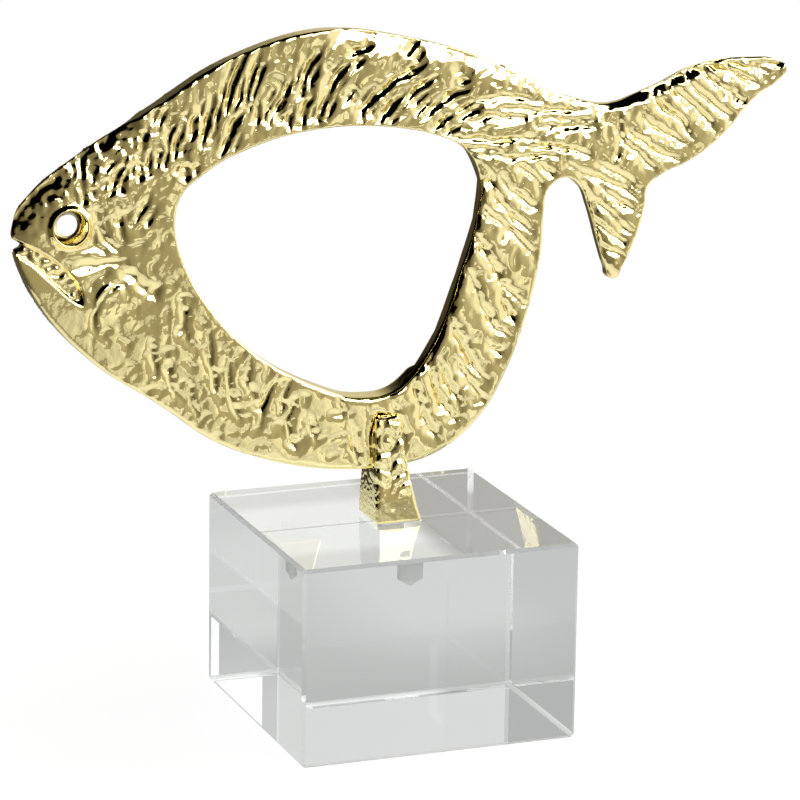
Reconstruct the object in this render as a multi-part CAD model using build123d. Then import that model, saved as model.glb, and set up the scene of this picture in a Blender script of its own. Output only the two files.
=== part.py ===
from build123d import *
import math
import os

# Millimetres, +Z up, +X to the tail, -Y to the viewer.
# Origin: centre of the block's underside.

# crystal block
base_width = 100.0
base_depth = 100.0
base_height = 70.0
base_bevel = 1.2

# blind bore in the block's top, with a drill point
bore_diameter = 9.2
bore_depth = 16.5
drill_point_angle = 118.0

# stud
stud_diameter = 8.0
stud_pitch = 1.25
stud_thread_height = 0.65
stud_in_block = 15.0
stud_in_post = 9.0
stud_tip_chamfer = 0.8
stud_hole_clearance = 0.05
stud_hole_spare = 1.0

# resin film under the foot
film_thickness = 0.4
film_inset = 0.8

# support post: foot, waist and head sections, each offset along X
foot_width = 17.4
foot_depth = 18.6
foot_offset = 0.6
foot_corner = 1.8
foot_edge = 0.8
waist_width = 11.6
waist_depth = 16.6
waist_offset = -2.6
waist_corner = 1.5
waist_height = 21.0
head_width = 9.2
head_depth = 15.8
head_offset = -3.8
head_corner = 1.5
cheek_height = 19.0
cheek_top_edge = 1.0

# seat for the fish in the forked head
post_seat_height = 19.1
slot_clearance = 0.05
seat_clearance = 0.05

# fish casting: each face is a shallow dome, thickest over the seat
body_half = 5.4
lens_radius = 4400.0
lens_overhang = 20.0
lens_step = 10.0
lens_x = -5.0
lens_z = 20.0
rim_round = 1.8

# eye: a through hole, countersunk from both faces inside a raised ring
eye_x = -116.2
eye_z = 92.0
eye_hole = 7.6
eye_land = 2.0
eye_sink_diameter = 12.0
eye_ring_diameter = 14.4
eye_ring_half = 5.0
eye_ring_edge = 0.8

# gill: a raised oval on both faces
gill_x = -100.4
gill_z = 61.6
gill_width = 15.0
gill_height = 21.0
gill_tilt = 20.0
gill_half = 5.0
gill_edge = 0.7

# half thickness of the web left between the mouth grooves
mouth_web_half = 1.4

# gouges on both faces: deep flutes on the back, shallower ribs on the tail and the lower limbs
gouge_radius = 3.0
flute_depth = 1.8
rib_depth = 1.1

# heights of the fish are taken from the seat in the post
foot_z = base_height + film_thickness
seat_z = foot_z + post_seat_height

# outline of the fish in side view, clockwise, as x and height above the seat
fish_edge = [
    (-135.2, 92.6),
    (-133.7, 97.8),
    (-129.0, 103.6),
    (-112.8, 115.5),
    (-90.0, 128.5),
    (-60.5, 145.0),
    (-27.5, 153.3),
    (8.0, 148.1),
    (42.5, 135.8),
    (63.0, 125.5),
    (78.0, 122.3),
    (92.0, 126.3),
    (111.3, 133.9),
    (130.0, 135.5),
    (142.0, 133.9),
    (146.2, 130.8),
    (143.6, 127.6),
    (134.5, 122.0),
    (120.0, 107.8),
    (107.5, 100.0),
    (98.0, 96.4),
    (92.8, 92.8),
    (91.8, 86.0),
    (89.3, 76.6),
    (84.2, 65.6),
    (80.4, 60.2),
    (77.6, 65.4),
    (75.3, 72.0),
    (71.0, 86.0),
    (67.8, 93.6),
    (61.0, 97.7),
    (54.9, 94.0),
    (53.6, 86.0),
    (52.8, 72.3),
    (48.5, 52.5),
    (41.5, 33.0),
    (31.5, 16.0),
    (15.6, 3.8),
    (-10.0, 0.0),
    (-24.0, 0.9),
    (-43.0, 5.0),
    (-63.0, 12.8),
    (-86.4, 29.5),
    (-109.5, 46.0),
    (-123.6, 61.5),
    (-130.7, 73.2),
    (-134.6, 84.0),
]

# opening through the body, clockwise
opening_edge = [
    (-79.6, 88.5),
    (-77.8, 99.5),
    (-68.4, 107.8),
    (-50.0, 115.9),
    (-23.0, 120.2),
    (0.0, 118.6),
    (13.4, 115.4),
    (24.6, 109.8),
    (30.2, 98.4),
    (28.8, 84.6),
    (22.6, 64.7),
    (15.6, 45.8),
    (8.4, 34.2),
    (-1.5, 26.4),
    (-13.0, 25.6),
    (-31.3, 31.8),
    (-51.0, 43.7),
    (-67.2, 60.7),
    (-75.6, 74.4),
]

# mouth: upper and lower edge of the groove, and the notch between the lips
mouth_upper = [(-140.0, 92.5), (-132.5, 87.9), (-124.9, 83.2), (-117.9, 77.9), (-113.7, 72.7), (-111.8, 65.0)]
mouth_lower = [(-140.0, 86.5), (-134.5, 83.6), (-127.7, 79.3), (-120.8, 72.2), (-111.8, 65.0)]
mouth_notch = [(-140.0, 92.0), (-131.4, 86.4), (-140.0, 83.0)]

# main flutes over the back, from the head to the tail: start and end as x and height above the seat
flutes = [
    ((-98.0, 114.5), (-101.6, 102.0)),
    ((-89.6, 121.0), (-91.7, 107.5)),
    ((-77.6, 123.0), (-80.6, 110.0)),
    ((-66.2, 133.0), (-70.8, 115.7)),
    ((-57.0, 141.0), (-62.4, 123.0)),
    ((-51.3, 142.0), (-56.4, 127.0)),
    ((-38.0, 138.5), (-46.6, 123.0)),
    ((-29.2, 145.0), (-36.4, 131.0)),
    ((-17.6, 142.4), (-28.6, 125.0)),
    ((6.0, 139.0), (-12.6, 125.6)),
    ((12.0, 134.6), (-4.6, 124.4)),
    ((24.8, 131.3), (10.0, 122.8)),
    ((29.3, 124.1), (19.0, 118.6)),
]

# main ribs on the tail, the rear limb and the belly
ribs = [
    ((84.5, 112.8), (101.0, 104.0)),
    ((90.6, 118.0), (106.0, 107.0)),
    ((96.4, 122.6), (109.4, 110.0)),
    ((102.2, 126.6), (117.0, 112.8)),
    ((108.2, 128.6), (122.6, 116.8)),
    ((114.6, 130.4), (128.4, 121.2)),
    ((74.8, 95.0), (87.4, 86.0)),
    ((74.2, 87.4), (84.8, 78.4)),
    ((33.6, 98.4), (46.6, 81.6)),
    ((33.0, 87.4), (47.8, 73.6)),
    ((30.6, 76.2), (43.8, 57.0)),
    ((21.4, 46.2), (30.2, 31.4)),
    ((13.2, 33.6), (20.4, 16.8)),
    ((-82.6, 44.0), (-80.4, 34.0)),
    ((-68.0, 50.0), (-66.0, 33.0)),
    ((-61.2, 40.6), (-58.0, 24.0)),
    ((-45.4, 32.6), (-49.4, 19.8)),
    ((-38.4, 24.2), (-38.4, 12.0)),
]


def side_plane(y):
    return Plane(origin=(0, y, seat_z), x_dir=(1, 0, 0), z_dir=(0, -1, 0))


def make_bore():
    radius = bore_diameter / 2
    point = radius / math.tan(math.radians(drill_point_angle / 2))
    top = base_height
    shoulder = base_height - bore_depth
    profile = Polyline(
        (0, 0, top),
        (radius, 0, top),
        (radius, 0, shoulder),
        (0, 0, shoulder - point),
        close=True,
    )
    return revolve(make_face(profile), Axis.Z)


def make_base():
    block = Box(base_width, base_depth, base_height, align=(Align.CENTER, Align.CENTER, Align.MIN))
    block = chamfer(block.edges(), base_bevel)
    return block - make_bore()


def make_stud():
    radius = stud_diameter / 2
    root = radius - stud_thread_height
    bottom = base_height - stud_in_block
    top = foot_z + stud_in_post
    turns = int((top - bottom - 2 * stud_tip_chamfer) / stud_pitch)
    points = [(0, 0, bottom), (radius - stud_tip_chamfer, 0, bottom)]
    for turn in range(turns):
        z = bottom + stud_tip_chamfer + turn * stud_pitch
        points.append((radius, 0, z + 0.1 * stud_pitch))
        points.append((radius, 0, z + 0.4 * stud_pitch))
        points.append((root, 0, z + 0.75 * stud_pitch))
    points.append((radius - stud_tip_chamfer, 0, top))
    points.append((0, 0, top))
    return revolve(make_face(Polyline(*points, close=True)), Axis.Z)


def make_resin():
    film = Pos(foot_offset, 0, base_height) * RectangleRounded(
        foot_width - 2 * film_inset,
        foot_depth - 2 * film_inset,
        foot_corner - film_inset,
    )
    return make_bore() + extrude(film, film_thickness) - make_stud()


def post_section(offset, height, width, depth, corner):
    return Pos(offset, 0, height) * RectangleRounded(width, depth, corner)


def make_post():
    top = seat_z + cheek_height
    foot = post_section(foot_offset, foot_z, foot_width, foot_depth, foot_corner)
    waist = post_section(waist_offset, foot_z + waist_height, waist_width, waist_depth, waist_corner)
    head = post_section(head_offset, top, head_width, head_depth, head_corner)
    post = loft([foot, waist, head])
    post = chamfer(post.faces().sort_by(Axis.Z)[0].edges(), foot_edge)
    post = chamfer(post.faces().sort_by(Axis.Z)[-1].edges(), cheek_top_edge)
    slot = Pos(0, 0, seat_z - seat_clearance) * Box(
        4 * foot_width,
        2 * (body_half + slot_clearance),
        2 * cheek_height,
        align=(Align.CENTER, Align.CENTER, Align.MIN),
    )
    hole = Pos(0, 0, foot_z) * Cylinder(
        stud_diameter / 2 + stud_hole_clearance,
        stud_in_post + stud_hole_spare,
        align=(Align.CENTER, Align.CENTER, Align.MIN),
    )
    return post - slot - hole


def heading_at(points, i):
    before = points[i] - points[i - 1]
    after = points[(i + 1) % len(points)] - points[i]
    return (before.normalized() * after.length + after.normalized() * before.length).normalized()


def smooth_loop(points):
    # between each two points a pair of arcs that meet in one heading
    corners = [Vector(*point) for point in points]
    headings = [heading_at(corners, i) for i in range(len(corners))]
    arcs = []
    for i in range(len(corners)):
        start = corners[i - 1]
        end = corners[i]
        out = headings[i - 1]
        into = headings[i]
        chord = end - start
        turn = 1 - out.dot(into)
        pull = chord.dot(out + into)
        reach = (math.sqrt(pull**2 + 2 * turn * chord.dot(chord)) - pull) / (2 * turn)
        middle = (start + end + (out - into) * reach) * 0.5
        first = TangentArc(start, middle, tangent=out)
        arcs.append(first)
        arcs.append(TangentArc(middle, end, tangent=first % 1))
    return Wire(arcs)


def fish_outline():
    return Face(smooth_loop(fish_edge), [smooth_loop(opening_edge)])


def lens_reach():
    # past the farthest point of the outline, rounded up to a full step
    farthest = max(math.hypot(x - lens_x, z - lens_z) for x, z in fish_edge)
    return lens_step * math.ceil((farthest + lens_overhang) / lens_step)


def thickness_lens():
    reach = lens_reach()
    drop = reach**2 / (2 * lens_radius)
    mid_drop = drop / 4
    front = ThreePointArc(
        (0, -body_half),
        (reach / 2, mid_drop - body_half),
        (reach, drop - body_half),
    )
    rear = mirror(front, Plane.XZ)
    profile = make_face([front, rear, Line(front @ 0, rear @ 0), Line(front @ 1, rear @ 1)])
    return Pos(lens_x, 0, seat_z + lens_z) * revolve(profile, Axis.Y)


def fish_plate():
    plate = extrude(side_plane(body_half) * fish_outline(), 2 * body_half, dir=(0, -1, 0))
    faces = plate.faces().filter_by(Axis.Y)
    plate = fillet(faces[0].edges() + faces[1].edges(), rim_round)
    return plate & thickness_lens()


def mouth_cuts():
    upper = Spline(*mouth_upper)
    lower = Spline(*mouth_lower)
    groove = make_face([upper, lower, Line(mouth_upper[0], mouth_lower[0])])
    front = extrude(side_plane(-mouth_web_half) * groove, 4 * body_half)
    rear = extrude(side_plane(mouth_web_half) * groove, -4 * body_half)
    notch = extrude(side_plane(0) * make_face(Polyline(*mouth_notch, close=True)), 2 * body_half, both=True)
    return front + rear + notch


def eye_ring():
    ring = Cylinder(eye_ring_diameter / 2, 2 * eye_ring_half)
    return chamfer(ring.edges(), eye_ring_edge)


def eye_hole_tool():
    reach = 2 * body_half
    land = eye_land / 2
    hole = eye_hole / 2
    rim = eye_sink_diameter / 2
    rim_y = eye_ring_half
    out = rim + (rim - hole) * (reach - rim_y) / (rim_y - land)
    profile = Polyline(
        (0, -reach),
        (out, -reach),
        (hole, -land),
        (hole, land),
        (out, reach),
        (0, reach),
        close=True,
    )
    return revolve(make_face(profile), Axis.Y)


def gill_oval():
    oval = Rot(0, 0, gill_tilt) * Ellipse(gill_width / 2, gill_height / 2)
    boss = extrude(side_plane(gill_half) * Pos(gill_x, gill_z) * oval, 2 * gill_half)
    return chamfer(boss.edges().filter_by(GeomType.ELLIPSE), gill_edge)


def face_point(place, lift):
    # a place in side view, this far in front of the domed front face
    x, z = place
    drop = ((x - lens_x) ** 2 + (z - lens_z) ** 2) / (2 * lens_radius)
    return Vector(x, drop - body_half - lift, seat_z + z)


def gouge(start, end, depth):
    # a bar with round ends, laid along the front face so that only its underside cuts
    first = face_point(start, gouge_radius - depth)
    last = face_point(end, gouge_radius - depth)
    length = (last - first).length
    slant = gouge_radius * math.sqrt(0.5)
    nose = ThreePointArc((0, 0, -gouge_radius), (slant, 0, -slant), (gouge_radius, 0, 0))
    flank = Line((gouge_radius, 0, 0), (gouge_radius, 0, length))
    tip = ThreePointArc((gouge_radius, 0, length), (slant, 0, length + slant), (0, 0, length + gouge_radius))
    bar = revolve(make_face([nose, flank, tip, Line(tip @ 1, nose @ 0)]), Axis.Z)
    return Plane(origin=first, z_dir=last - first) * bar


def gouges():
    front = [gouge(start, end, flute_depth) for start, end in flutes]
    front += [gouge(start, end, rib_depth) for start, end in ribs]
    rear = [mirror(bar, Plane.XZ) for bar in front]
    return front + rear


def make_fish():
    eye_place = Pos(eye_x, 0, seat_z + eye_z)
    fish = fish_plate() + gill_oval() + eye_place * Rot(90, 0, 0) * eye_ring()
    return fish - mouth_cuts() - eye_place * eye_hole_tool() - gouges()


os.makedirs("parts", exist_ok=True)
export_step(make_base(), "parts/crystal_base.step")
export_step(make_stud(), "parts/mounting_stud.step")
export_step(make_resin(), "parts/bonding_resin.step")
export_step(make_post(), "parts/support_post.step")
export_step(make_fish(), "parts/fish_casting.step")
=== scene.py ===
import math

import bpy
import numpy as np
from mathutils import Matrix, Vector, kdtree, noise


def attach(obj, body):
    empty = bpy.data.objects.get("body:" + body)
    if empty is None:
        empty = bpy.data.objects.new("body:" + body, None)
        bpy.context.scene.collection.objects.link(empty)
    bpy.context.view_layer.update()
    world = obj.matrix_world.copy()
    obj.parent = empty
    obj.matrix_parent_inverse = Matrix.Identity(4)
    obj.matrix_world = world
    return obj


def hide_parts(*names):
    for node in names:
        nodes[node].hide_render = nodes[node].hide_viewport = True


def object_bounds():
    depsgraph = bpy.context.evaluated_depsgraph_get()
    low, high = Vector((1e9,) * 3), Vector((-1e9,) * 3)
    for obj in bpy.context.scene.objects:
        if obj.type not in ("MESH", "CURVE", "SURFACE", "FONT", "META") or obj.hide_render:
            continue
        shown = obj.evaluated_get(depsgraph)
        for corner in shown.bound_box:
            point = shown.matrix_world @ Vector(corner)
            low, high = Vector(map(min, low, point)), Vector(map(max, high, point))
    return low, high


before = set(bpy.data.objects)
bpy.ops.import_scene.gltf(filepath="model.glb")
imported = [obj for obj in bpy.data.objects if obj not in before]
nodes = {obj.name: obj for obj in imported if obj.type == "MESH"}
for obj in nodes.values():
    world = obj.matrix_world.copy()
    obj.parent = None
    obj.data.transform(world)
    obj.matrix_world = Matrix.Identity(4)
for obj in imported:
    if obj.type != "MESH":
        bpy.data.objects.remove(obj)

cad_low, cad_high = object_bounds()

# Metres in Blender; sizes below are written in millimetres and multiplied by MM.
MM = 0.001

# Mesh sizes: points closer than WELD are joined, and the voxels set the grain of the carved pieces.
WELD = 0.004
FISH_VOXEL = 0.74
POST_VOXEL = 0.35
# The adhesive wets the glass: its skin reaches this far into the bore's wall.
RESIN_OVERLAP = 0.02

# The camera, as worked out from the block's corners in the photograph.
CAMERA_TARGET = (2.86, 0.0, 111.80)
CAMERA_HEADING = (0.3485, 0.9011, -0.2581)
CAMERA_DISTANCE = 1482.8
CAMERA_ROLL = 0.79
CAMERA_LENS = 193.5


# Small helpers


def hex_colour(text):
    """An sRGB hex colour as linear red, green, blue, alpha."""
    values = [int(text[i : i + 2], 16) / 255 for i in (1, 3, 5)]
    linear = [v / 12.92 if v <= 0.04045 else ((v + 0.055) / 1.055) ** 2.4 for v in values]
    return (*linear, 1.0)


def add_node(tree, kind, settings=None, inputs=None, links=None):
    """One shader node: its own settings, plain input values, and the sockets that feed its inputs."""
    node = tree.nodes.new("ShaderNode" + kind)
    for name, value in (settings or {}).items():
        setattr(node, name, value)
    for name, value in (inputs or {}).items():
        node.inputs[name].default_value = value
    for name, socket in (links or {}).items():
        tree.links.new(socket, node.inputs[name])
    return node


def new_material(name):
    """An empty node material and its tree."""
    material = bpy.data.materials.new(name)
    material.use_nodes = True
    material.node_tree.nodes.clear()
    return material, material.node_tree


def select_only(piece):
    """Makes this piece the one that Blender's mesh tools work on."""
    bpy.ops.object.select_all(action="DESELECT")
    piece.select_set(True)
    bpy.context.view_layer.objects.active = piece


def merged_copy(node, name):
    """A piece that starts as a copy of a CAD node's mesh, its loose triangles joined."""
    piece = bpy.data.objects.new(name, nodes[node].data.copy())
    bpy.context.scene.collection.objects.link(piece)
    piece.data.name = name
    piece.data.materials.clear()
    select_only(piece)
    bpy.ops.mesh.customdata_custom_splitnormals_clear()
    bpy.ops.object.mode_set(mode="EDIT")
    bpy.ops.mesh.select_all(action="SELECT")
    bpy.ops.mesh.remove_doubles(threshold=WELD * MM)
    bpy.ops.object.mode_set(mode="OBJECT")
    return piece


def remeshed(piece, voxel):
    """The same form in even small quads, fine enough to carry the cast relief."""
    select_only(piece)
    piece.data.remesh_voxel_size = voxel * MM
    piece.data.use_remesh_fix_poles = False
    piece.data.use_remesh_preserve_volume = True
    bpy.ops.object.voxel_remesh()
    bpy.ops.object.shade_smooth()
    return piece


def finish_piece(piece, material, slot, *replaced):
    """Gives a piece its material and body, and hides the CAD nodes that it stands in for. The slot is not
    used.
    """
    piece.data.materials.append(material)
    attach(piece, "root")
    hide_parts(*replaced)


# The camera

ahead = Vector(CAMERA_HEADING).normalized()
level_right = ahead.cross(Vector((0, 0, 1))).normalized()
level_up = level_right.cross(ahead)
roll = math.radians(CAMERA_ROLL)
camera_right = level_right * math.cos(roll) + level_up * math.sin(roll)
camera_up = level_up * math.cos(roll) - level_right * math.sin(roll)
camera_place = (Vector(CAMERA_TARGET) - ahead * CAMERA_DISTANCE) * MM
camera_turn = Matrix((camera_right, camera_up, -ahead)).transposed().to_4x4()

camera_data = bpy.data.cameras.new("camera")
camera_data.lens = CAMERA_LENS
camera_data.sensor_width = 36.0
camera_data.clip_start = 0.01
camera_data.clip_end = 50.0
camera = bpy.data.objects.new("camera", camera_data)
bpy.context.scene.collection.objects.link(camera)
camera.matrix_world = Matrix.Translation(camera_place) @ camera_turn
bpy.context.scene.camera = camera
bpy.context.scene.view_settings.view_transform = "Standard"


# Materials


def gold_plate():
    """Polished pale-gold electroplate over a cast body: a mirror whose reflections break up on
    the casting's fine pitting, with a thin haze from handling."""
    material, tree = new_material("gold_electroplate_polished")
    place = add_node(tree, "TexCoord").outputs["Object"]
    haze = add_node(
        tree, "TexNoise", inputs={"Scale": 1 / (9 * MM), "Detail": 3.0}, links={"Vector": place}
    )
    rough = add_node(
        tree, "MapRange",
        inputs={"From Min": 0.35, "From Max": 0.7, "To Min": 0.015, "To Max": 0.045},
        links={"Value": haze.outputs["Fac"]},
    )
    pits = add_node(
        tree, "TexNoise", inputs={"Scale": 1 / (1.8 * MM), "Detail": 1.5}, links={"Vector": place}
    )
    bump = add_node(
        tree, "Bump", inputs={"Strength": 0.6, "Distance": 0.08 * MM}, links={"Height": pits.outputs["Fac"]}
    )
    shader = add_node(
        tree, "BsdfPrincipled",
        inputs={"Base Color": hex_colour("#FFF0B2"), "Metallic": 1.0},
        links={"Roughness": rough.outputs["Result"], "Normal": bump.outputs["Normal"]},
    )
    add_node(tree, "OutputMaterial", links={"Surface": shader.outputs["BSDF"]})
    return material


def optical_glass():
    """Ground and polished optical crystal: clear, heavy refraction, crisp inner reflections. The narrow
    bevels, where no part of the normal is near 1, are fine-ground and show as light lines: strongly at
    the bottom and at the top left, faintly elsewhere."""
    material, tree = new_material("optical_crystal_glass")
    coordinates = add_node(tree, "TexCoord")
    outward = add_node(
        tree, "VectorMath", {"operation": "ABSOLUTE"}, links={0: coordinates.outputs["Normal"]}
    )
    facing = add_node(tree, "SeparateXYZ", links={"Vector": outward.outputs["Vector"]})
    wider = add_node(
        tree, "Math", {"operation": "MAXIMUM"}, links={0: facing.outputs["X"], 1: facing.outputs["Y"]}
    )
    widest = add_node(
        tree, "Math", {"operation": "MAXIMUM"}, links={0: wider.outputs[0], 1: facing.outputs["Z"]}
    )
    place = add_node(tree, "SeparateXYZ", links={"Vector": coordinates.outputs["Object"]})
    low = add_node(
        tree, "MapRange",
        inputs={"From Min": 1.3 * MM, "From Max": 1.6 * MM, "To Min": 0.75, "To Max": 0.12},
        links={"Value": place.outputs["Z"]},
    )
    up_and_left = add_node(
        tree, "Math", {"operation": "SUBTRACT"}, links={0: place.outputs["Z"], 1: place.outputs["X"]}
    )
    top_left = add_node(
        tree, "MapRange", inputs={"From Min": 117.5 * MM, "From Max": 118.5 * MM, "To Max": 0.95},
        links={"Value": up_and_left.outputs[0]},
    )
    on_bevel = add_node(
        tree, "Math", {"operation": "MAXIMUM"},
        links={0: low.outputs["Result"], 1: top_left.outputs["Result"]},
    )
    ground_share = add_node(
        tree, "MapRange",
        inputs={"From Min": 0.8, "From Max": 0.9, "To Max": 0.0},
        links={"Value": widest.outputs[0], "To Min": on_bevel.outputs[0]},
    )
    polished = add_node(
        tree, "BsdfPrincipled",
        inputs={
            "Base Color": hex_colour("#FAFDFB"), "Transmission Weight": 1.0, "IOR": 1.52, "Roughness": 0.0,
        },
    )
    ground = add_node(tree, "BsdfTranslucent", inputs={"Color": hex_colour("#FFFFFF")})
    shader = add_node(
        tree, "MixShader",
        links={0: ground_share.outputs["Result"], 1: polished.outputs["BSDF"], 2: ground.outputs["BSDF"]},
    )
    add_node(tree, "OutputMaterial", links={"Surface": shader.outputs["Shader"]})
    return material


def cured_resin():
    """UV-cured adhesive: milky, slightly translucent, with small clouds where it set unevenly."""
    material, tree = new_material("uv_cured_adhesive")
    place = add_node(tree, "TexCoord").outputs["Object"]
    cloud = add_node(
        tree, "TexNoise", inputs={"Scale": 1 / (4 * MM), "Detail": 3.0}, links={"Vector": place}
    )
    tone = add_node(tree, "ValToRGB", links={"Fac": cloud.outputs["Fac"]})
    tone.color_ramp.elements[0].position = 0.3
    tone.color_ramp.elements[0].color = hex_colour("#F6F7F5")
    tone.color_ramp.elements[1].position = 0.75
    tone.color_ramp.elements[1].color = hex_colour("#FFFFFF")
    shader = add_node(
        tree, "BsdfPrincipled",
        inputs={"Roughness": 0.55, "IOR": 1.5, "Transmission Weight": 0.04},
        links={"Base Color": tone.outputs["Color"]},
    )
    add_node(tree, "OutputMaterial", links={"Surface": shader.outputs["BSDF"]})
    return material


def threaded_steel():
    """Zinc-plated steel stud: satin grey, with a slightly blotchy plating."""
    material, tree = new_material("zinc_plated_steel")
    place = add_node(tree, "TexCoord").outputs["Object"]
    blotch = add_node(
        tree, "TexNoise", inputs={"Scale": 1 / (3 * MM), "Detail": 4.0}, links={"Vector": place}
    )
    rough = add_node(
        tree, "MapRange",
        inputs={"From Min": 0.3, "From Max": 0.7, "To Min": 0.28, "To Max": 0.42},
        links={"Value": blotch.outputs["Fac"]},
    )
    shader = add_node(
        tree, "BsdfPrincipled",
        inputs={"Base Color": hex_colour("#B9BBBD"), "Metallic": 1.0},
        links={"Roughness": rough.outputs["Result"]},
    )
    add_node(tree, "OutputMaterial", links={"Surface": shader.outputs["BSDF"]})
    return material


gold = gold_plate()
crystal = optical_glass()
resin = cured_resin()
steel = threaded_steel()


# Relief of the casting

# Crease lines of each stretch of the fish in side view: x and height over the post's seat, in mm.
UPPER_FLUTES = [
    [(-37.9, 138.5), (-40.6, 133.2), (-43.4, 128.3), (-46.6, 123.0)],
    [(-28.7, 145.8), (-31.9, 141.2), (-34.6, 135.6), (-36.4, 131.6)],
    [(-32.1, 131.4), (-33.9, 127.7), (-35.2, 121.7)],
    [(-38.5, 126.6), (-40.2, 121.0)],
    [(-17.3, 142.8), (-20.4, 139.2), (-24.0, 134.0), (-26.8, 129.0), (-29.6, 122.4)],
    [(-16.5, 133.9), (-19.6, 128.3)],
    [(-12.6, 143.6), (-16.2, 140.0)],
    [(8.3, 140.1), (1.1, 136.3), (-5.0, 132.9), (-9.6, 129.8), (-12.4, 126.8), (-14.5, 122.9)],
    [(4.1, 132.4), (-0.6, 128.2), (-4.8, 124.4), (-7.3, 121.8)],
    [(12.7, 135.0), (6.6, 131.6), (2.0, 127.0)],
    [(10.7, 127.6), (6.4, 122.7)],
    [(24.8, 131.3), (17.6, 128.2), (10.7, 123.5)],
    [(19.5, 122.3), (12.6, 117.8)],
    [(22.1, 118.3), (16.7, 115.5)],
    [(29.3, 124.1), (20.6, 119.4)],
    [(6.7, 147.6), (2.8, 142.7)],
    [(25.5, 134.7), (21.1, 132.1)],
    [(-22.2, 140.7), (-24.7, 137.8)],
    [(-9.5, 147.5), (-18.0, 144.5)],
]
UPPER_LEFT = [
    [(-55.2, 147.5), (-57.6, 140.2), (-59.7, 134.6), (-61.8, 127.3)],
    [(-49.9, 148.2), (-51.3, 142.2), (-53.7, 135.0), (-55.8, 130.3)],
    [(-55.1, 127.3), (-58.9, 123.8), (-61.4, 117.5), (-63.8, 112.5)],
    [(-49.8, 131.4), (-51.5, 122.0)],
    [(-44.5, 135.1), (-47.7, 129.2)],
    [(-71.5, 127.9), (-73.3, 122.2), (-75.0, 116.6)],
    [(-76.1, 124.8), (-78.9, 118.5), (-79.9, 113.5)],
    [(-75.7, 111.9), (-76.4, 104.2)],
    [(-84.8, 117.2), (-86.5, 109.5)],
    [(-91.4, 112.5), (-91.7, 106.5)],
    [(-88.6, 100.2), (-93.8, 91.7)],
    [(-96.6, 113.2), (-100.4, 107.4), (-101.8, 101.7)],
    [(-89.6, 124.6), (-91.7, 113.6)],
    [(-111.0, 115.4), (-111.8, 104.7), (-110.4, 99.3)],
    [(-107.3, 96.7), (-104.9, 88.1), (-99.8, 83.3)],
    [(-66.0, 134.0), (-68.7, 123.0), (-70.8, 115.7)],
    [(-82.0, 131.5), (-85.5, 122.6)],
    [(-99.4, 96.5), (-98.0, 86.2)],
]
RIGHT_LIMB = [
    [(29.4, 104.7), (33.9, 98.5), (37.0, 90.6), (41.9, 85.7), (48.8, 79.2)],
    [(36.1, 101.1), (41.4, 94.5), (50.8, 87.6)],
    [(30.4, 90.7), (33.8, 86.6), (38.3, 82.4), (44.7, 77.1), (50.8, 70.3)],
    [(26.5, 81.8), (30.3, 77.0), (32.9, 72.2), (35.6, 68.2), (37.6, 63.1), (41.4, 58.6), (47.1, 53.9)],
    [(24.5, 69.7), (27.6, 63.8), (29.9, 57.6), (32.6, 51.4), (36.4, 46.5), (41.8, 42.2)],
    [(18.9, 51.0), (22.0, 45.1), (25.1, 38.9), (28.9, 32.5), (32.3, 28.3)],
    [(12.1, 40.6), (12.6, 31.7), (14.9, 25.1), (18.0, 19.1), (21.8, 14.5)],
    [(15.9, 35.7), (19.4, 26.5), (23.2, 19.4)],
    [(5.2, 32.6), (7.1, 26.8), (8.3, 21.3), (11.4, 13.9), (14.8, 9.0)],
    [(38.5, 57.0), (42.4, 48.5)],
    [(32.5, 41.5), (38.9, 36.3)],
    [(42.6, 103.9), (47.9, 99.7), (53.2, 95.5)],
    [(50.8, 103.3), (57.3, 98.4)],
    [(21.8, 36.3), (26.4, 28.8), (31.0, 22.0)],
]
PEDUNCLE = [
    [(22.2, 114.1), (36.2, 112.6), (51.4, 112.0)],
    [(26.0, 108.0), (40.0, 106.1), (59.3, 105.3)],
    [(49.4, 116.3), (62.1, 115.6), (74.1, 114.5)],
    [(50.1, 119.1), (63.9, 117.6), (73.2, 117.0)],
    [(25.0, 119.5), (36.0, 120.6), (47.1, 119.3)],
    [(28.5, 126.9), (39.5, 127.7), (52.5, 124.9)],
    [(36.0, 123.7), (50.8, 121.8), (69.4, 120.4)],
    [(43.6, 110.1), (58.5, 108.5), (69.8, 105.3)],
    [(25.2, 110.5), (36.3, 108.8)],
    [(81.1, 117.6), (81.7, 109.9), (80.4, 102.9)],
]
UPPER_LOBE = [
    [(77.8, 116.4), (83.2, 109.1), (89.1, 103.8), (94.9, 98.8)],
    [(83.5, 113.6), (90.4, 108.6), (97.0, 104.0), (103.6, 101.5)],
    [(88.6, 119.3), (94.0, 114.1), (100.6, 110.5), (108.0, 105.8)],
    [(94.1, 124.9), (98.8, 120.1), (105.4, 114.8), (110.2, 107.8)],
    [(100.4, 128.4), (107.0, 122.4), (113.0, 116.8), (118.5, 110.8)],
    [(106.4, 130.6), (112.7, 124.2), (119.4, 118.6), (124.9, 115.1)],
    [(112.0, 133.1), (118.3, 127.8), (126.1, 122.4), (130.1, 119.7)],
    [(118.1, 134.5), (126.3, 129.8), (135.2, 125.8)],
    [(126.5, 134.7), (135.8, 131.1), (140.5, 129.0)],
]
LOWER_LOBE = [
    [(61.6, 103.7), (67.3, 99.5), (73.8, 96.6), (83.0, 92.2), (89.5, 87.8)],
    [(72.7, 96.7), (77.3, 91.1), (83.5, 86.8), (88.9, 84.0)],
    [(71.7, 89.7), (78.7, 83.6), (86.8, 76.6)],
    [(72.3, 83.3), (77.7, 78.3), (84.3, 72.9)],
    [(74.8, 73.6), (82.5, 68.8)],
    [(67.8, 95.3), (70.3, 87.7), (73.5, 78.3), (76.4, 70.6)],
    [(73.6, 101.9), (81.3, 97.6), (89.4, 91.7)],
]
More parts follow.
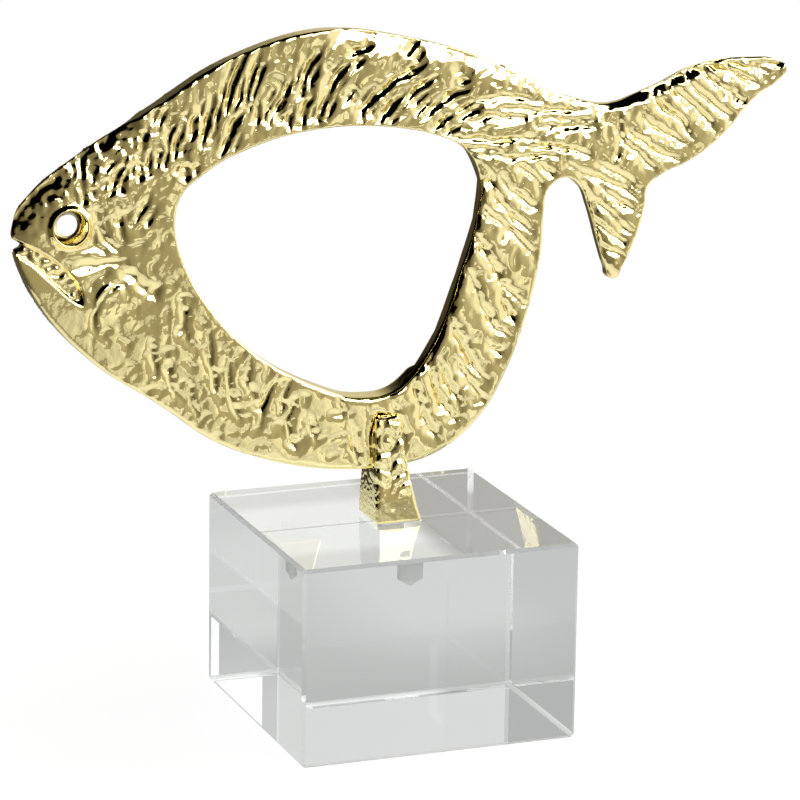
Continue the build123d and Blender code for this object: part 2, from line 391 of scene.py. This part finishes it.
BOTTOM_LIMB = [
    [(-77.4, 65.6), (-76.7, 56.2), (-75.3, 48.5)],
    [(-83.1, 46.0), (-82.0, 39.3), (-79.9, 31.5)],
    [(-75.3, 35.6), (-73.9, 28.2), (-71.8, 22.4)],
    [(-68.3, 52.8), (-67.5, 43.4), (-65.7, 32.1)],
    [(-61.1, 41.8), (-61.1, 34.1), (-59.6, 27.0), (-56.8, 21.2)],
    [(-43.9, 35.2), (-47.1, 30.5), (-49.2, 24.4), (-49.6, 18.4)],
    [(-38.9, 33.4), (-41.4, 29.0), (-42.4, 23.1)],
    [(-37.4, 26.6), (-39.9, 20.8), (-39.1, 14.0), (-36.5, 8.5)],
    [(-21.4, 25.9), (-20.3, 19.8)],
    [(-17.7, 18.5), (-16.2, 10.9), (-13.1, 2.8)],
    [(-53.6, 41.9), (-54.7, 34.0), (-51.8, 27.4)],
    [(-31.9, 20.1), (-30.4, 11.8)],
    [(-88.7, 52.6), (-87.3, 44.9), (-86.3, 39.0)],
]
ROUND_POST = [
    [(-17.9, 17.4), (-16.5, 12.0), (-14.8, 6.5), (-13.2, 1.4)],
    [(-7.4, 19.2), (-8.5, 12.2), (-9.0, 6.9), (-9.1, 1.1)],
    [(-2.9, 24.6), (-1.5, 20.9), (1.3, 17.1), (2.6, 11.2), (2.9, 5.8)],
    [(5.8, 28.8), (7.2, 22.4), (10.1, 15.5), (13.5, 9.4)],
    [(-7.9, 19.5), (-4.7, 18.1), (0.9, 17.2)],
]
CHEEK = [
    [(-115.4, 78.3), (-107.1, 78.3), (-97.0, 79.3)],
    [(-111.3, 70.5), (-107.1, 73.6), (-102.6, 77.3)],
    [(-99.8, 77.8), (-92.5, 71.5), (-86.9, 65.9)],
    [(-85.9, 70.3), (-89.4, 65.8)],
]
GILL = [
    [(-119.4, 84.3), (-110.5, 84.4), (-100.5, 83.3)],
    [(-107.4, 54.5), (-108.0, 61.0), (-105.6, 67.4), (-100.6, 71.6), (-94.4, 72.0)],
]

# Height of the post's seat over the table, and two places on the fish, in the same terms as the lines
SEAT_HEIGHT = 89.5
EYE = (-116.2, 92.0)
GILL_MIDDLE = (-100.4, 61.6)
# In front of this x the jaw's face stays level instead of falling away with the dome.
JAW_FRONT = -98.0
# The domed body: half its greatest thickness, the middle of the dome, and how slowly it falls away
DOME_HALF = 5.4
DOME_MIDDLE = (-5.0, 20.0)
DOME_SPREAD = 8800
# How far the post's foot leans to the left
FOOT_LEAN = 0.7

# Lines, depth, width of the steep left bank and of the gentle right bank as the line runs,
# depth of the sharp cut at the bottom, and share of the depth that the lines beside each line have
CREASES = [
    (UPPER_FLUTES, 1.9, 1.1, 2.2, 0.3, 0.7),
    (UPPER_LEFT, 1.6, 1.0, 2.0, 0.3, 0.7),
    (RIGHT_LIMB, 1.5, 1.6, 2.6, 0.6, 0.0),
    (PEDUNCLE, 1.5, 1.0, 1.6, 0.8, 0.0),
    (UPPER_LOBE, 1.7, 1.5, 2.8, 0.7, 0.0),
    (LOWER_LOBE, 1.3, 1.4, 2.4, 0.5, 0.0),
    (BOTTOM_LIMB, 0.55, 1.4, 2.2, 0.6, 0.0),
    (ROUND_POST, 0.6, 1.3, 2.2, 0.5, 0.0),
    (CHEEK, 1.3, 1.8, 1.8, 0.0, 0.0),
    (GILL, 0.5, 0.9, 1.2, 0.4, 0.0),
]
# Half the width of the sharp cut, and how far off the lines beside each line run
CUT_HALF_WIDTH = 0.6
BESIDE = 2.9

# Edges where the casting thins out: line, width in mm, drop of each face at the edge, power of the
# curve, and how much farther the rear face drops
THIN_EDGES = [
    ([(-136.0, 93.0), (-128.5, 103.0), (-112.5, 115.0), (-97.0, 124.5)], 9.5, 2.9, 1.5, 0.0),
    ([(-20.0, 153.3), (8.0, 148.1), (42.5, 135.8), (63.0, 125.5), (76.0, 122.3)], 8.0, 2.0, 1.6, 0.0),
    ([(78.0, 122.3), (92.0, 126.0), (111.5, 133.5), (130.0, 135.5), (142.0, 133.9)], 3.6, 2.5, 1.0, 0.0),
    ([(24.6, 109.8), (30.2, 98.4), (28.8, 84.6), (22.6, 64.7), (15.6, 45.8), (8.4, 34.2)],
     3.2, 1.6, 2.0, 2.4),
    ([(67.8, 93.6), (71.0, 86.0), (75.3, 72.0), (77.6, 65.4), (80.4, 60.2)], 4.0, 1.9, 1.4, 1.2),
]

# How strongly the surface is crumpled round a place: x, height, streaks, crumple
CRUMPLE_AT = [
    (-120, 102, 0.2, 2.8), (-106, 112, 0.4, 2.3), (-86, 120, 0.8, 1.5), (-60, 130, 0.8, 1.0),
    (-25, 135, 0.7, 0.65), (10, 130, 0.8, 0.8), (50, 115, 0.8, 1.7), (84, 110, 0.4, 1.3),
    (115, 120, 0.08, 0.6), (80, 80, 0.08, 0.5), (42, 85, 0.04, 0.6), (33, 50, 0.04, 0.6),
    (18, 22, 0.1, 0.7), (-20, 15, 0.06, 0.6), (-60, 30, 0.05, 0.75), (-100, 60, 0.08, 1.0),
    (-85, 45, 0.06, 0.75), (-115, 60, 0.0, 0.15), (-128, 76, 0.0, 0.1), (-106, 81, 0.0, 0.1),
    (-90, 86, 0.2, 0.75), (-90, 56, 0.1, 1.0), (-122, 66, 0.0, 0.05), (-110, 50, 0.0, 0.25),
]
MOUTH_LINE = [(-133.0, 85.5), (-127.0, 81.5), (-119.5, 75.5), (-113.0, 68.0)]
STREAK_DIRECTIONS = 8


def smooth_step(values, low, high):
    """0 up to low, 1 from high on, and a soft rise between."""
    t = np.clip((values - low) / (high - low), 0, 1)
    return t * t * (3 - 2 * t)


def line_distance(points, line):
    """Each point's distance to a bent line, negative on its right, the heading of the nearest stretch,
    and how far along the line that stretch lies, from 0 to 1."""
    best = np.full(len(points), 1e9)
    heading = np.zeros(len(points))
    along = np.zeros(len(points))
    stretches = len(line) - 1
    for i, (start, end) in enumerate(zip(line, line[1:])):
        start, end = np.array(start), np.array(end)
        run = end - start
        out = points - start
        t = np.clip(out @ run / (run @ run), 0, 1)
        left = run[0] * out[:, 1] - run[1] * out[:, 0] > 0
        away = np.hypot(*(out - t[:, None] * run).T)
        nearer = away < np.abs(best)
        best = np.where(nearer, np.where(left, away, -away), best)
        heading = np.where(nearer, math.atan2(run[1], run[0]), heading)
        along = np.where(nearer, (i + t) / stretches, along)
    return best, heading, along


def grain(points, size):
    """Soft waves of about that size in mm, between -1 and 1. A number that a caller adds to the points
    only picks another stretch of the same waves."""
    return np.array([noise.noise(Vector(p)) for p in points / size])


def creases_and_flow(side):
    """Depth of the creases at each point, the distance to the nearest, and the way that the streaks run."""
    depth = np.zeros(len(side))
    nearest = np.full(len(side), 1e9)
    flow = np.zeros((len(side), 2))
    flat = np.stack([side[:, 0], side[:, 1], np.zeros(len(side))], 1)
    spread = 1 + 0.5 * grain(flat + 3.0, 13.0)
    come_and_go = np.clip(0.7 + 1.6 * grain(flat + 90.0, 8.0), 0, 1.1)
    for lines, deep, steep, gentle, cut, beside in CREASES:
        for line in lines:
            offset, heading, along = line_distance(side, line)
            from_end = np.clip(4 * np.minimum(along, 1 - along), 0, 1)
            for shift in (0, BESIDE, -BESIDE) if beside else (0,):
                away = np.abs(offset - shift * spread)
                valley = np.exp(-((away / np.where(offset > shift * spread, steep, gentle)) ** 1.4))
                slit = np.exp(-((away / CUT_HALF_WIDTH) ** 2))
                taper = beside * come_and_go * from_end if shift else 0.4 + 0.6 * from_end
                depth = np.maximum(depth, taper * (deep * valley + cut * slit))
            away = np.abs(offset)
            nearest = np.minimum(nearest, away)
            pull = np.exp(-away / 7.0)[:, None]
            flow += pull * np.stack([np.cos(2 * heading), np.sin(2 * heading)], 1)
    return depth, nearest, np.arctan2(flow[:, 1], flow[:, 0]) / 2


def streaks(places, flow, length, width):
    """Waves drawn out along the flow, mixed from a few fixed directions."""
    total = np.zeros(len(places))
    weight = np.zeros(len(places))
    for i in range(STREAK_DIRECTIONS):
        angle = math.pi * i / STREAK_DIRECTIONS
        share = np.maximum(np.cos(flow - angle) ** 2 - 0.72, 0)
        along = places[:, 0] * math.cos(angle) + places[:, 2] * math.sin(angle)
        across = places[:, 2] * math.cos(angle) - places[:, 0] * math.sin(angle)
        waves = grain(np.stack([along / length, across / width, places[:, 1] + 7.3 * i], 1), 1.0)
        total += share * waves
        weight += share
    return total / np.maximum(weight, 1e-6)


def strength_at(side, column):
    """The crumple table's numbers, blended between its places."""
    spots = np.array(CRUMPLE_AT)
    away = np.hypot(side[:, :1] - spots[:, 0], side[:, 1:] - spots[:, 1])
    near = 1 / (away + 2.0) ** 3
    return near @ spots[:, column] / near.sum(1)


def edge_drop(side, rear):
    """How far each face falls towards the edges where the casting thins out."""
    drop = np.zeros(len(side))
    for line, width, fall, power, farther in THIN_EDGES:
        away = np.abs(line_distance(side, line)[0])
        fall = fall + farther * rear
        drop = np.maximum(drop, fall * np.maximum(1 - away / width, 0) ** power)
    return drop


def mesh_points(mesh):
    """A mesh's vertices in mm and its vertex normals, as arrays."""
    places = np.empty(len(mesh.vertices) * 3, np.float32)
    mesh.vertices.foreach_get("co", places)
    normals = np.empty(len(mesh.vertices) * 3, np.float32)
    mesh.vertex_normals.foreach_get("vector", normals)
    return places.reshape(-1, 3).astype(float) / MM, normals.reshape(-1, 3).astype(float)


def set_points(mesh, places):
    """Moves the vertices to these places in mm, kept inside the CAD model's box."""
    inside = np.clip(places * MM, np.array(cad_low), np.array(cad_high))
    mesh.vertices.foreach_set("co", inside.astype(np.float32).ravel())
    mesh.update()


def rim_distance(side, rim):
    """How far each point lies from the nearest of the points picked out as rim."""
    tree = kdtree.KDTree(int(rim.sum()))
    for i, (x, z) in enumerate(side[rim]):
        tree.insert((x, z, 0), i)
    tree.balance()
    return np.array([tree.find((x, z, 0))[2] for x, z in side])


def body_half_thickness(side):
    """Half the thickness of the domed body."""
    out = np.hypot(side[:, 0] - DOME_MIDDLE[0], side[:, 1] - DOME_MIDDLE[1])
    return DOME_HALF - out**2 / DOME_SPREAD


def level_gouges(piece):
    """Fills the straight gouges of the solid level with the domed face; the relief cuts them again
    along their true, bent lines. Of the gill, only the upper left edge is left standing."""
    places, normals = mesh_points(piece.data)
    side = np.stack([places[:, 0], places[:, 2] - SEAT_HEIGHT], 1)
    half = np.abs(places[:, 1])
    from_rim = rim_distance(side, (np.abs(normals[:, 1]) < 0.5) & (half < 1.2))
    eye = np.hypot(side[:, 0] - EYE[0], side[:, 1] - EYE[1])
    mouth = np.abs(line_distance(side, MOUTH_LINE)[0])
    full = body_half_thickness(side)
    sunk = (from_rim > 2.3) & (eye > 10) & (mouth > 6.5) & (half < full)
    half = np.where(sunk, full, half)
    out = side - np.array(GILL_MIDDLE)
    kept = smooth_step(out @ np.array([-0.6, 0.8]), -2.0, 9.0)
    half = np.where((np.hypot(*out.T) < 14) & (half > full), full + kept * (half - full), half)
    places[:, 1] = np.sign(places[:, 1]) * half
    set_points(piece.data, places)


def carve_fish(piece):
    """Creases, streaks and crumpled skin on both faces, with a calm, level jaw, a smooth ring round the eye,
    rough metal in the mouth and thinned edges."""
    places, normals = mesh_points(piece.data)
    side = np.stack([places[:, 0], places[:, 2] - SEAT_HEIGHT], 1)
    face = smooth_step(np.abs(normals[:, 1]), 0.45, 0.95)
    eye = np.hypot(side[:, 0] - EYE[0], side[:, 1] - EYE[1])
    clear_of_eye = smooth_step(eye, 7.0, 9.5)
    wander = np.stack([grain(places + 11.0, 5.0), grain(places + 47.0, 5.0)], 1)
    shiver = np.stack([grain(places + 5.0, 1.8), grain(places + 19.0, 1.8)], 1)
    depth, nearest, flow = creases_and_flow(side + 0.9 * wander + 0.35 * shiver)
    streaky = strength_at(side, 2)
    crumpled = strength_at(side, 3)
    in_crease = np.exp(-nearest / 2.5)
    relief = -depth * (0.9 + 0.4 * grain(places + 83.0, 7.0))
    relief += 0.8 * streaky * np.abs(streaks(places, flow, 12.0, 3.0))
    relief += 0.40 * streaky * streaks(places + 200.0, flow, 6.0, 1.6)
    rough = crumpled * (0.6 + 0.9 * in_crease)
    covered = smooth_step(crumpled, 0.75, 1.25)
    lumps, fine_lumps = grain(places, 4.5), grain(places + 31.0, 2.4)
    relief += 0.60 * rough * covered * np.abs(lumps)
    relief += 0.38 * rough * covered * np.abs(fine_lumps)
    relief -= 1.5 * rough * (1 - covered) * np.maximum(lumps - 0.12, 0)
    relief -= 0.9 * rough * (1 - covered) * np.maximum(fine_lumps - 0.18, 0)
    relief += 0.20 * grain(places + 63.0, 14.0)
    level = np.stack([np.maximum(side[:, 0], JAW_FRONT), side[:, 1]], 1)
    flatter = body_half_thickness(level) - body_half_thickness(side)
    relief += flatter * smooth_step(-side[:, 1], -80.0, -70.0)
    mouth = np.abs(line_distance(side, MOUTH_LINE)[0])
    in_mouth = (np.abs(places[:, 1]) < 2.4) * smooth_step(-mouth, -4.5, -2.0)
    relief = relief * (1 - in_mouth) + 2.4 * in_mouth * np.abs(grain(places + 7.0, 2.4))
    drop = edge_drop(side, places[:, 1] > 0) * clear_of_eye
    places[:, 1] *= 1 - drop / body_half_thickness(side)
    places += normals * (relief * face * clear_of_eye)[:, None]
    set_points(piece.data, places)


def carve_post(piece):
    """The post's upper half is as crumpled as the fish. Below it is smoother, with a grained left side and
    a foot that leans to the left. The slot and the stud's hole stay as they are, and the foot stays flat."""
    places, normals = mesh_points(piece.data)
    high = smooth_step(places[:, 2], 79.0, 90.0)
    left = smooth_step(-normals[:, 0], 0.5, 0.9)
    outside = smooth_step(np.hypot(places[:, 0] + 2.0, places[:, 1]), 4.4, 5.2)
    top = smooth_step(places[:, 2], 70.5, 72.0)
    relief = (0.2 + 1.9 * high) * (np.abs(grain(places + 3.0, 5.5)) - 0.3)
    relief += (0.05 + 0.25 * high) * grain(places + 57.0, 2.2)
    relief *= 1 - 0.6 * left
    relief += 0.15 * left * grain(places * (1.0, 1.0, 0.7) + 29.0, 0.8)
    slot = (np.abs(places[:, 1]) < 5.7) * (places[:, 2] > 89.0)
    relief *= outside * top * (1 - slot)
    places += normals * np.minimum(relief, 0.25)[:, None]
    places[:, 0] -= FOOT_LEAN * smooth_step(-places[:, 2], -88.0, -72.0) * outside
    set_points(piece.data, places)


# The fish

fish = remeshed(merged_copy("fish_casting", "fish_body"), FISH_VOXEL)
select_only(fish)
bpy.ops.object.mode_set(mode="EDIT")
bpy.ops.mesh.select_all(action="SELECT")
bpy.ops.mesh.vertices_smooth(factor=0.5, repeat=3)
bpy.ops.object.mode_set(mode="OBJECT")
level_gouges(fish)
carve_fish(fish)
finish_piece(fish, gold, "gold_plate", "fish_casting")


# The post

post = remeshed(merged_copy("support_post", "post_casting"), POST_VOXEL)
carve_post(post)
finish_piece(post, gold, "gold_plate", "support_post")


# Block, stud and adhesive

for node, material in (("crystal_base", crystal), ("mounting_stud", steel)):
    nodes[node].data.materials.clear()
    nodes[node].data.materials.append(material)

adhesive = merged_copy("bonding_resin", "adhesive_fill")
select_only(adhesive)
bpy.ops.object.mode_set(mode="EDIT")
bpy.ops.mesh.select_all(action="SELECT")
bpy.ops.transform.shrink_fatten(value=RESIN_OVERLAP * MM)
bpy.ops.object.mode_set(mode="OBJECT")
finish_piece(adhesive, resin, "resin", "bonding_resin")


# Floor, card, world and lamps

# The floor's radius and the height that the lamps aim at, in metres
FLOOR_RADIUS = 0.33
LAMP_AIM = 0.16
# How far the floor lies below the block, and half the block's width, in mm
FLOOR_DROP = 0.2
BLOCK_HALF = 50.0
# The way to the lit end of the table that the metal mirrors
TABLE_HEADING = (0.328, -0.901, -0.284)
# The card's y, and the x and height of its corners, in mm
CARD_AT = -300.0
CARD_CORNERS = [(143.1, 92), (146.7, 92), (146.7, 124.5), (166.6, 124.5), (166.6, 149.8), (143.1, 124.0)]


def pale_floor():
    """The white studio sweep. It shows white to the camera and keeps the object's shadow. Metal sees it
    as light grey, and so does glass, which also shows the light that the block gathers under its left side
    and the soft shade round its foot."""
    material, tree = new_material("matt_white_sweep")
    path = add_node(tree, "LightPath")
    place = add_node(tree, "TexCoord").outputs["Object"]
    split = add_node(tree, "SeparateXYZ", links={"Vector": place})
    brightest = add_node(
        tree, "MapRange",
        inputs={"From Min": 17 * MM, "From Max": 26 * MM, "To Min": 0.86, "To Max": 1.1},
        links={"Value": split.outputs["Y"]},
    )
    gathered = add_node(
        tree, "MapRange", {"interpolation_type": "SMOOTHSTEP"},
        inputs={"From Min": 18 * MM, "From Max": 30 * MM, "To Max": 0.45},
        links={"Value": split.outputs["X"], "To Min": brightest.outputs["Result"]},
    )
    sides = [
        add_node(tree, "Math", {"operation": "ABSOLUTE"}, links={0: split.outputs[axis]}) for axis in "XY"
    ]
    far = add_node(
        tree, "Math", {"operation": "MAXIMUM"}, links={0: sides[0].outputs[0], 1: sides[1].outputs[0]}
    )
    beyond = add_node(
        tree, "Math", {"operation": "GREATER_THAN"}, inputs={1: BLOCK_HALF * MM}, links={0: far.outputs[0]}
    )
    far_back = add_node(
        tree, "MapRange",
        inputs={"From Min": 0.0, "From Max": 45 * MM, "To Min": 0.55, "To Max": 0.66},
        links={"Value": split.outputs["X"]},
    )
    back = add_node(
        tree, "MapRange", {"interpolation_type": "SMOOTHSTEP"},
        inputs={"From Min": 45 * MM, "From Max": 140 * MM, "To Min": 0.48},
        links={"Value": far.outputs[0], "To Max": far_back.outputs["Result"]},
    )
    shaded = add_node(
        tree, "MapRange", {"interpolation_type": "SMOOTHSTEP"},
        inputs={"From Min": -10 * MM, "From Max": 50 * MM, "To Min": 0.82},
        links={"Value": split.outputs["Y"], "To Max": back.outputs["Result"]},
    )
    seen_through = add_node(
        tree, "MapRange",
        links={
            "Value": beyond.outputs[0],
            "To Min": gathered.outputs["Result"],
            "To Max": shaded.outputs["Result"],
        },
    )
    reach = add_node(tree, "VectorMath", {"operation": "LENGTH"}, links={0: place})
    lit_front = add_node(
        tree, "MapRange",
        inputs={"From Min": 20 * MM, "From Max": 120 * MM, "To Min": 1.0, "To Max": 0.4},
        links={"Value": split.outputs["Y"]},
    )
    falling = add_node(
        tree, "MapRange",
        inputs={"From Min": 0.15, "From Max": FLOOR_RADIUS, "To Min": 1.0, "To Max": 0.62},
        links={"Value": reach.outputs["Value"]},
    )
    in_metal = add_node(
        tree, "Math", {"operation": "MULTIPLY"},
        links={0: falling.outputs["Result"], 1: lit_front.outputs["Result"]},
    )
    mirrored = add_node(
        tree, "MapRange",
        links={
            "Value": path.outputs["Is Transmission Ray"],
            "To Min": in_metal.outputs[0],
            "To Max": seen_through.outputs["Result"],
        },
    )
    other = add_node(
        tree, "Emission", inputs={"Color": (1, 1, 1, 1)}, links={"Strength": mirrored.outputs["Result"]}
    )
    matt = add_node(tree, "BsdfDiffuse", inputs={"Color": hex_colour("#6E6E6E")})
    glow = add_node(tree, "Emission", inputs={"Color": (1, 1, 1, 1), "Strength": 0.945})
    lit = add_node(tree, "AddShader", links={0: matt.outputs["BSDF"], 1: glow.outputs["Emission"]})
    shown = add_node(
        tree, "MixShader",
        links={0: path.outputs["Is Camera Ray"], 1: other.outputs["Emission"], 2: lit.outputs["Shader"]},
    )
    add_node(tree, "OutputMaterial", links={"Surface": shown.outputs["Shader"]})
    return material


bpy.ops.object.select_all(action="DESELECT")
bpy.ops.mesh.primitive_circle_add(
    vertices=96, radius=FLOOR_RADIUS, fill_type="NGON", location=(0, 0, -FLOOR_DROP * MM)
)
floor = bpy.context.object
floor.name = "floor"
floor.data.materials.append(pale_floor())


def studio_world():
    """White behind the object for the camera. The metal mirrors a grey room that brightens to the right,
    dark overhead and to the upper left, with a white sweep behind on the right and a lit table end in
    front. The glass shows a light grey backdrop that falls off to the left, under a bright ceiling."""
    world = bpy.data.worlds.new("studio")
    bpy.context.scene.world = world
    world.use_nodes = True
    tree = world.node_tree
    tree.nodes.clear()
    path = add_node(tree, "LightPath")
    heading = add_node(tree, "TexCoord").outputs["Generated"]
    split = add_node(tree, "SeparateXYZ", links={"Vector": heading})
    across = add_node(
        tree, "MapRange", inputs={"From Min": -1.0, "From Max": 1.0}, links={"Value": split.outputs["X"]}
    )
    room = add_node(tree, "ValToRGB", links={"Fac": across.outputs["Result"]})
    tones = [(0.2, "#5A5344"), (0.42, "#857F6E"), (0.64, "#A59F8D"), (0.78, "#BDB8A8"), (0.87, "#FBFAF6")]
    while len(room.color_ramp.elements) < len(tones):
        room.color_ramp.elements.new(0.5)
    for stop, (at, tone) in zip(room.color_ramp.elements, tones):
        stop.position = at
        stop.color = hex_colour(tone)
    upper_left = add_node(
        tree, "VectorMath", {"operation": "DOT_PRODUCT"}, inputs={1: (-0.55, 0.0, 0.835)},
        links={0: heading},
    )
    dark_left = add_node(
        tree, "MapRange", {"interpolation_type": "SMOOTHSTEP"},
        inputs={"From Min": 0.30, "From Max": 0.46}, links={"Value": upper_left.outputs["Value"]},
    )
    dark_above = add_node(
        tree, "MapRange", {"interpolation_type": "SMOOTHSTEP"},
        inputs={"From Min": 0.70, "From Max": 0.82}, links={"Value": split.outputs["Z"]},
    )
    dark = add_node(
        tree, "Math", {"operation": "MAXIMUM"},
        links={0: dark_left.outputs["Result"], 1: dark_above.outputs["Result"]},
    )
    lit = add_node(
        tree, "MapRange", inputs={"To Min": 1.0, "To Max": 0.006}, links={"Value": dark.outputs[0]}
    )
    sweep = add_node(
        tree, "MapRange",
        inputs={"From Min": 0.05, "From Max": 0.3, "To Min": 0.35, "To Max": 1.5},
        links={"Value": split.outputs["X"]},
    )
    behind = add_node(
        tree, "MapRange", {"interpolation_type": "SMOOTHSTEP"},
        inputs={"From Min": 0.35, "From Max": 0.75, "To Min": 1.0},
        links={"Value": split.outputs["Y"], "To Max": sweep.outputs["Result"]},
    )
    strength = add_node(
        tree, "Math", {"operation": "MULTIPLY"},
        links={0: lit.outputs["Result"], 1: behind.outputs["Result"]},
    )
    walls = add_node(
        tree, "Background", links={"Color": room.outputs["Color"], "Strength": strength.outputs[0]}
    )
    towards_table = add_node(
        tree, "VectorMath", {"operation": "DOT_PRODUCT"}, inputs={1: TABLE_HEADING}, links={0: heading}
    )
    on_table = add_node(
        tree, "MapRange", {"interpolation_type": "SMOOTHSTEP"},
        inputs={"From Min": math.cos(math.radians(7.0)), "From Max": math.cos(math.radians(6.0))},
        links={"Value": towards_table.outputs["Value"]},
    )
    table_light = add_node(
        tree, "MapRange",
        inputs={"From Min": 0.26, "From Max": 0.42, "To Min": 0.62, "To Max": 1.12},
        links={"Value": split.outputs["X"]},
    )
    table = add_node(
        tree, "Background", inputs={"Color": hex_colour("#FBFAF4")},
        links={"Strength": table_light.outputs["Result"]},
    )
    metal_sees = add_node(
        tree, "MixShader",
        links={
            0: on_table.outputs["Result"],
            1: walls.outputs["Background"],
            2: table.outputs["Background"],
        },
    )
    backdrop = add_node(
        tree, "MapRange",
        inputs={"From Min": -0.35, "From Max": 0.35, "To Min": 0.45, "To Max": 0.72},
        links={"Value": split.outputs["X"]},
    )
    in_front = add_node(
        tree, "MapRange", inputs={"From Min": 0.0, "From Max": -0.5, "To Min": 1.0, "To Max": 0.8},
        links={"Value": split.outputs["Y"]},
    )
    ceiling = add_node(
        tree, "MapRange", inputs={"From Min": 0.4, "From Max": 0.55, "To Min": 0.0, "To Max": 1.0},
        links={"Value": split.outputs["Z"]},
    )
    through = add_node(
        tree, "Math", {"operation": "MULTIPLY_ADD"},
        links={0: backdrop.outputs["Result"], 1: in_front.outputs["Result"], 2: ceiling.outputs["Result"]},
    )
    glass_sees = add_node(
        tree, "Background", inputs={"Color": (1, 1, 1, 1)}, links={"Strength": through.outputs[0]}
    )
    inner = add_node(
        tree, "MixShader",
        links={
            0: path.outputs["Is Transmission Ray"],
            1: metal_sees.outputs["Shader"],
            2: glass_sees.outputs["Background"],
        },
    )
    white = add_node(tree, "Background", inputs={"Color": (1, 1, 1, 1), "Strength": 1.0})
    shown = add_node(
        tree, "MixShader",
        links={
            0: path.outputs["Is Camera Ray"],
            1: inner.outputs["Shader"],
            2: white.outputs["Background"],
        },
    )
    add_node(tree, "OutputWorld", links={"Surface": shown.outputs["Shader"]})


def softbox(name, turn, rise, away, width, height, glow):
    """A rectangular lamp aimed at the fish: its turn to the right of the front and its rise, in degrees,
    its distance and size in metres, and its brightness as seen in a mirror."""
    data = bpy.data.lights.new(name, "AREA")
    data.shape = "RECTANGLE"
    data.size = width
    data.size_y = height
    data.energy = glow * math.pi * width * height
    lamp = bpy.data.objects.new(name, data)
    bpy.context.scene.collection.objects.link(lamp)
    turn, rise = math.radians(turn), math.radians(rise)
    out = Vector((math.sin(turn) * math.cos(rise), -math.cos(turn) * math.cos(rise), math.sin(rise)))
    aim = (-out).to_track_quat("-Z", "Y").to_matrix().to_4x4()
    lamp.matrix_world = Matrix.Translation(out * away + Vector((0, 0, LAMP_AIM))) @ aim
    lamp.visible_camera = False
    lamp.visible_transmission = False


def white_card():
    """A white card at the front right. Only the block's lower left shows it, through the back and the
    right face."""
    material, tree = new_material("white_card")
    glow = add_node(tree, "Emission", inputs={"Color": (1, 1, 1, 1), "Strength": 1.35})
    add_node(tree, "OutputMaterial", links={"Surface": glow.outputs["Emission"]})
    mesh = bpy.data.meshes.new("card")
    corners = [Vector((x, CARD_AT, z)) * MM for x, z in CARD_CORNERS]
    mesh.from_pydata(corners, [], [range(len(corners))])
    card = bpy.data.objects.new("card", mesh)
    bpy.context.scene.collection.objects.link(card)
    mesh.materials.append(material)
    card.visible_camera = False
    card.visible_glossy = False
    card.visible_diffuse = False
    card.visible_shadow = False


studio_world()
white_card()
softbox("softbox_front_right", 25, 29, 1.3, 0.9, 0.76, 3.0)
softbox("softbox_right", 82, 27, 1.4, 1.05, 1.0, 3.0)
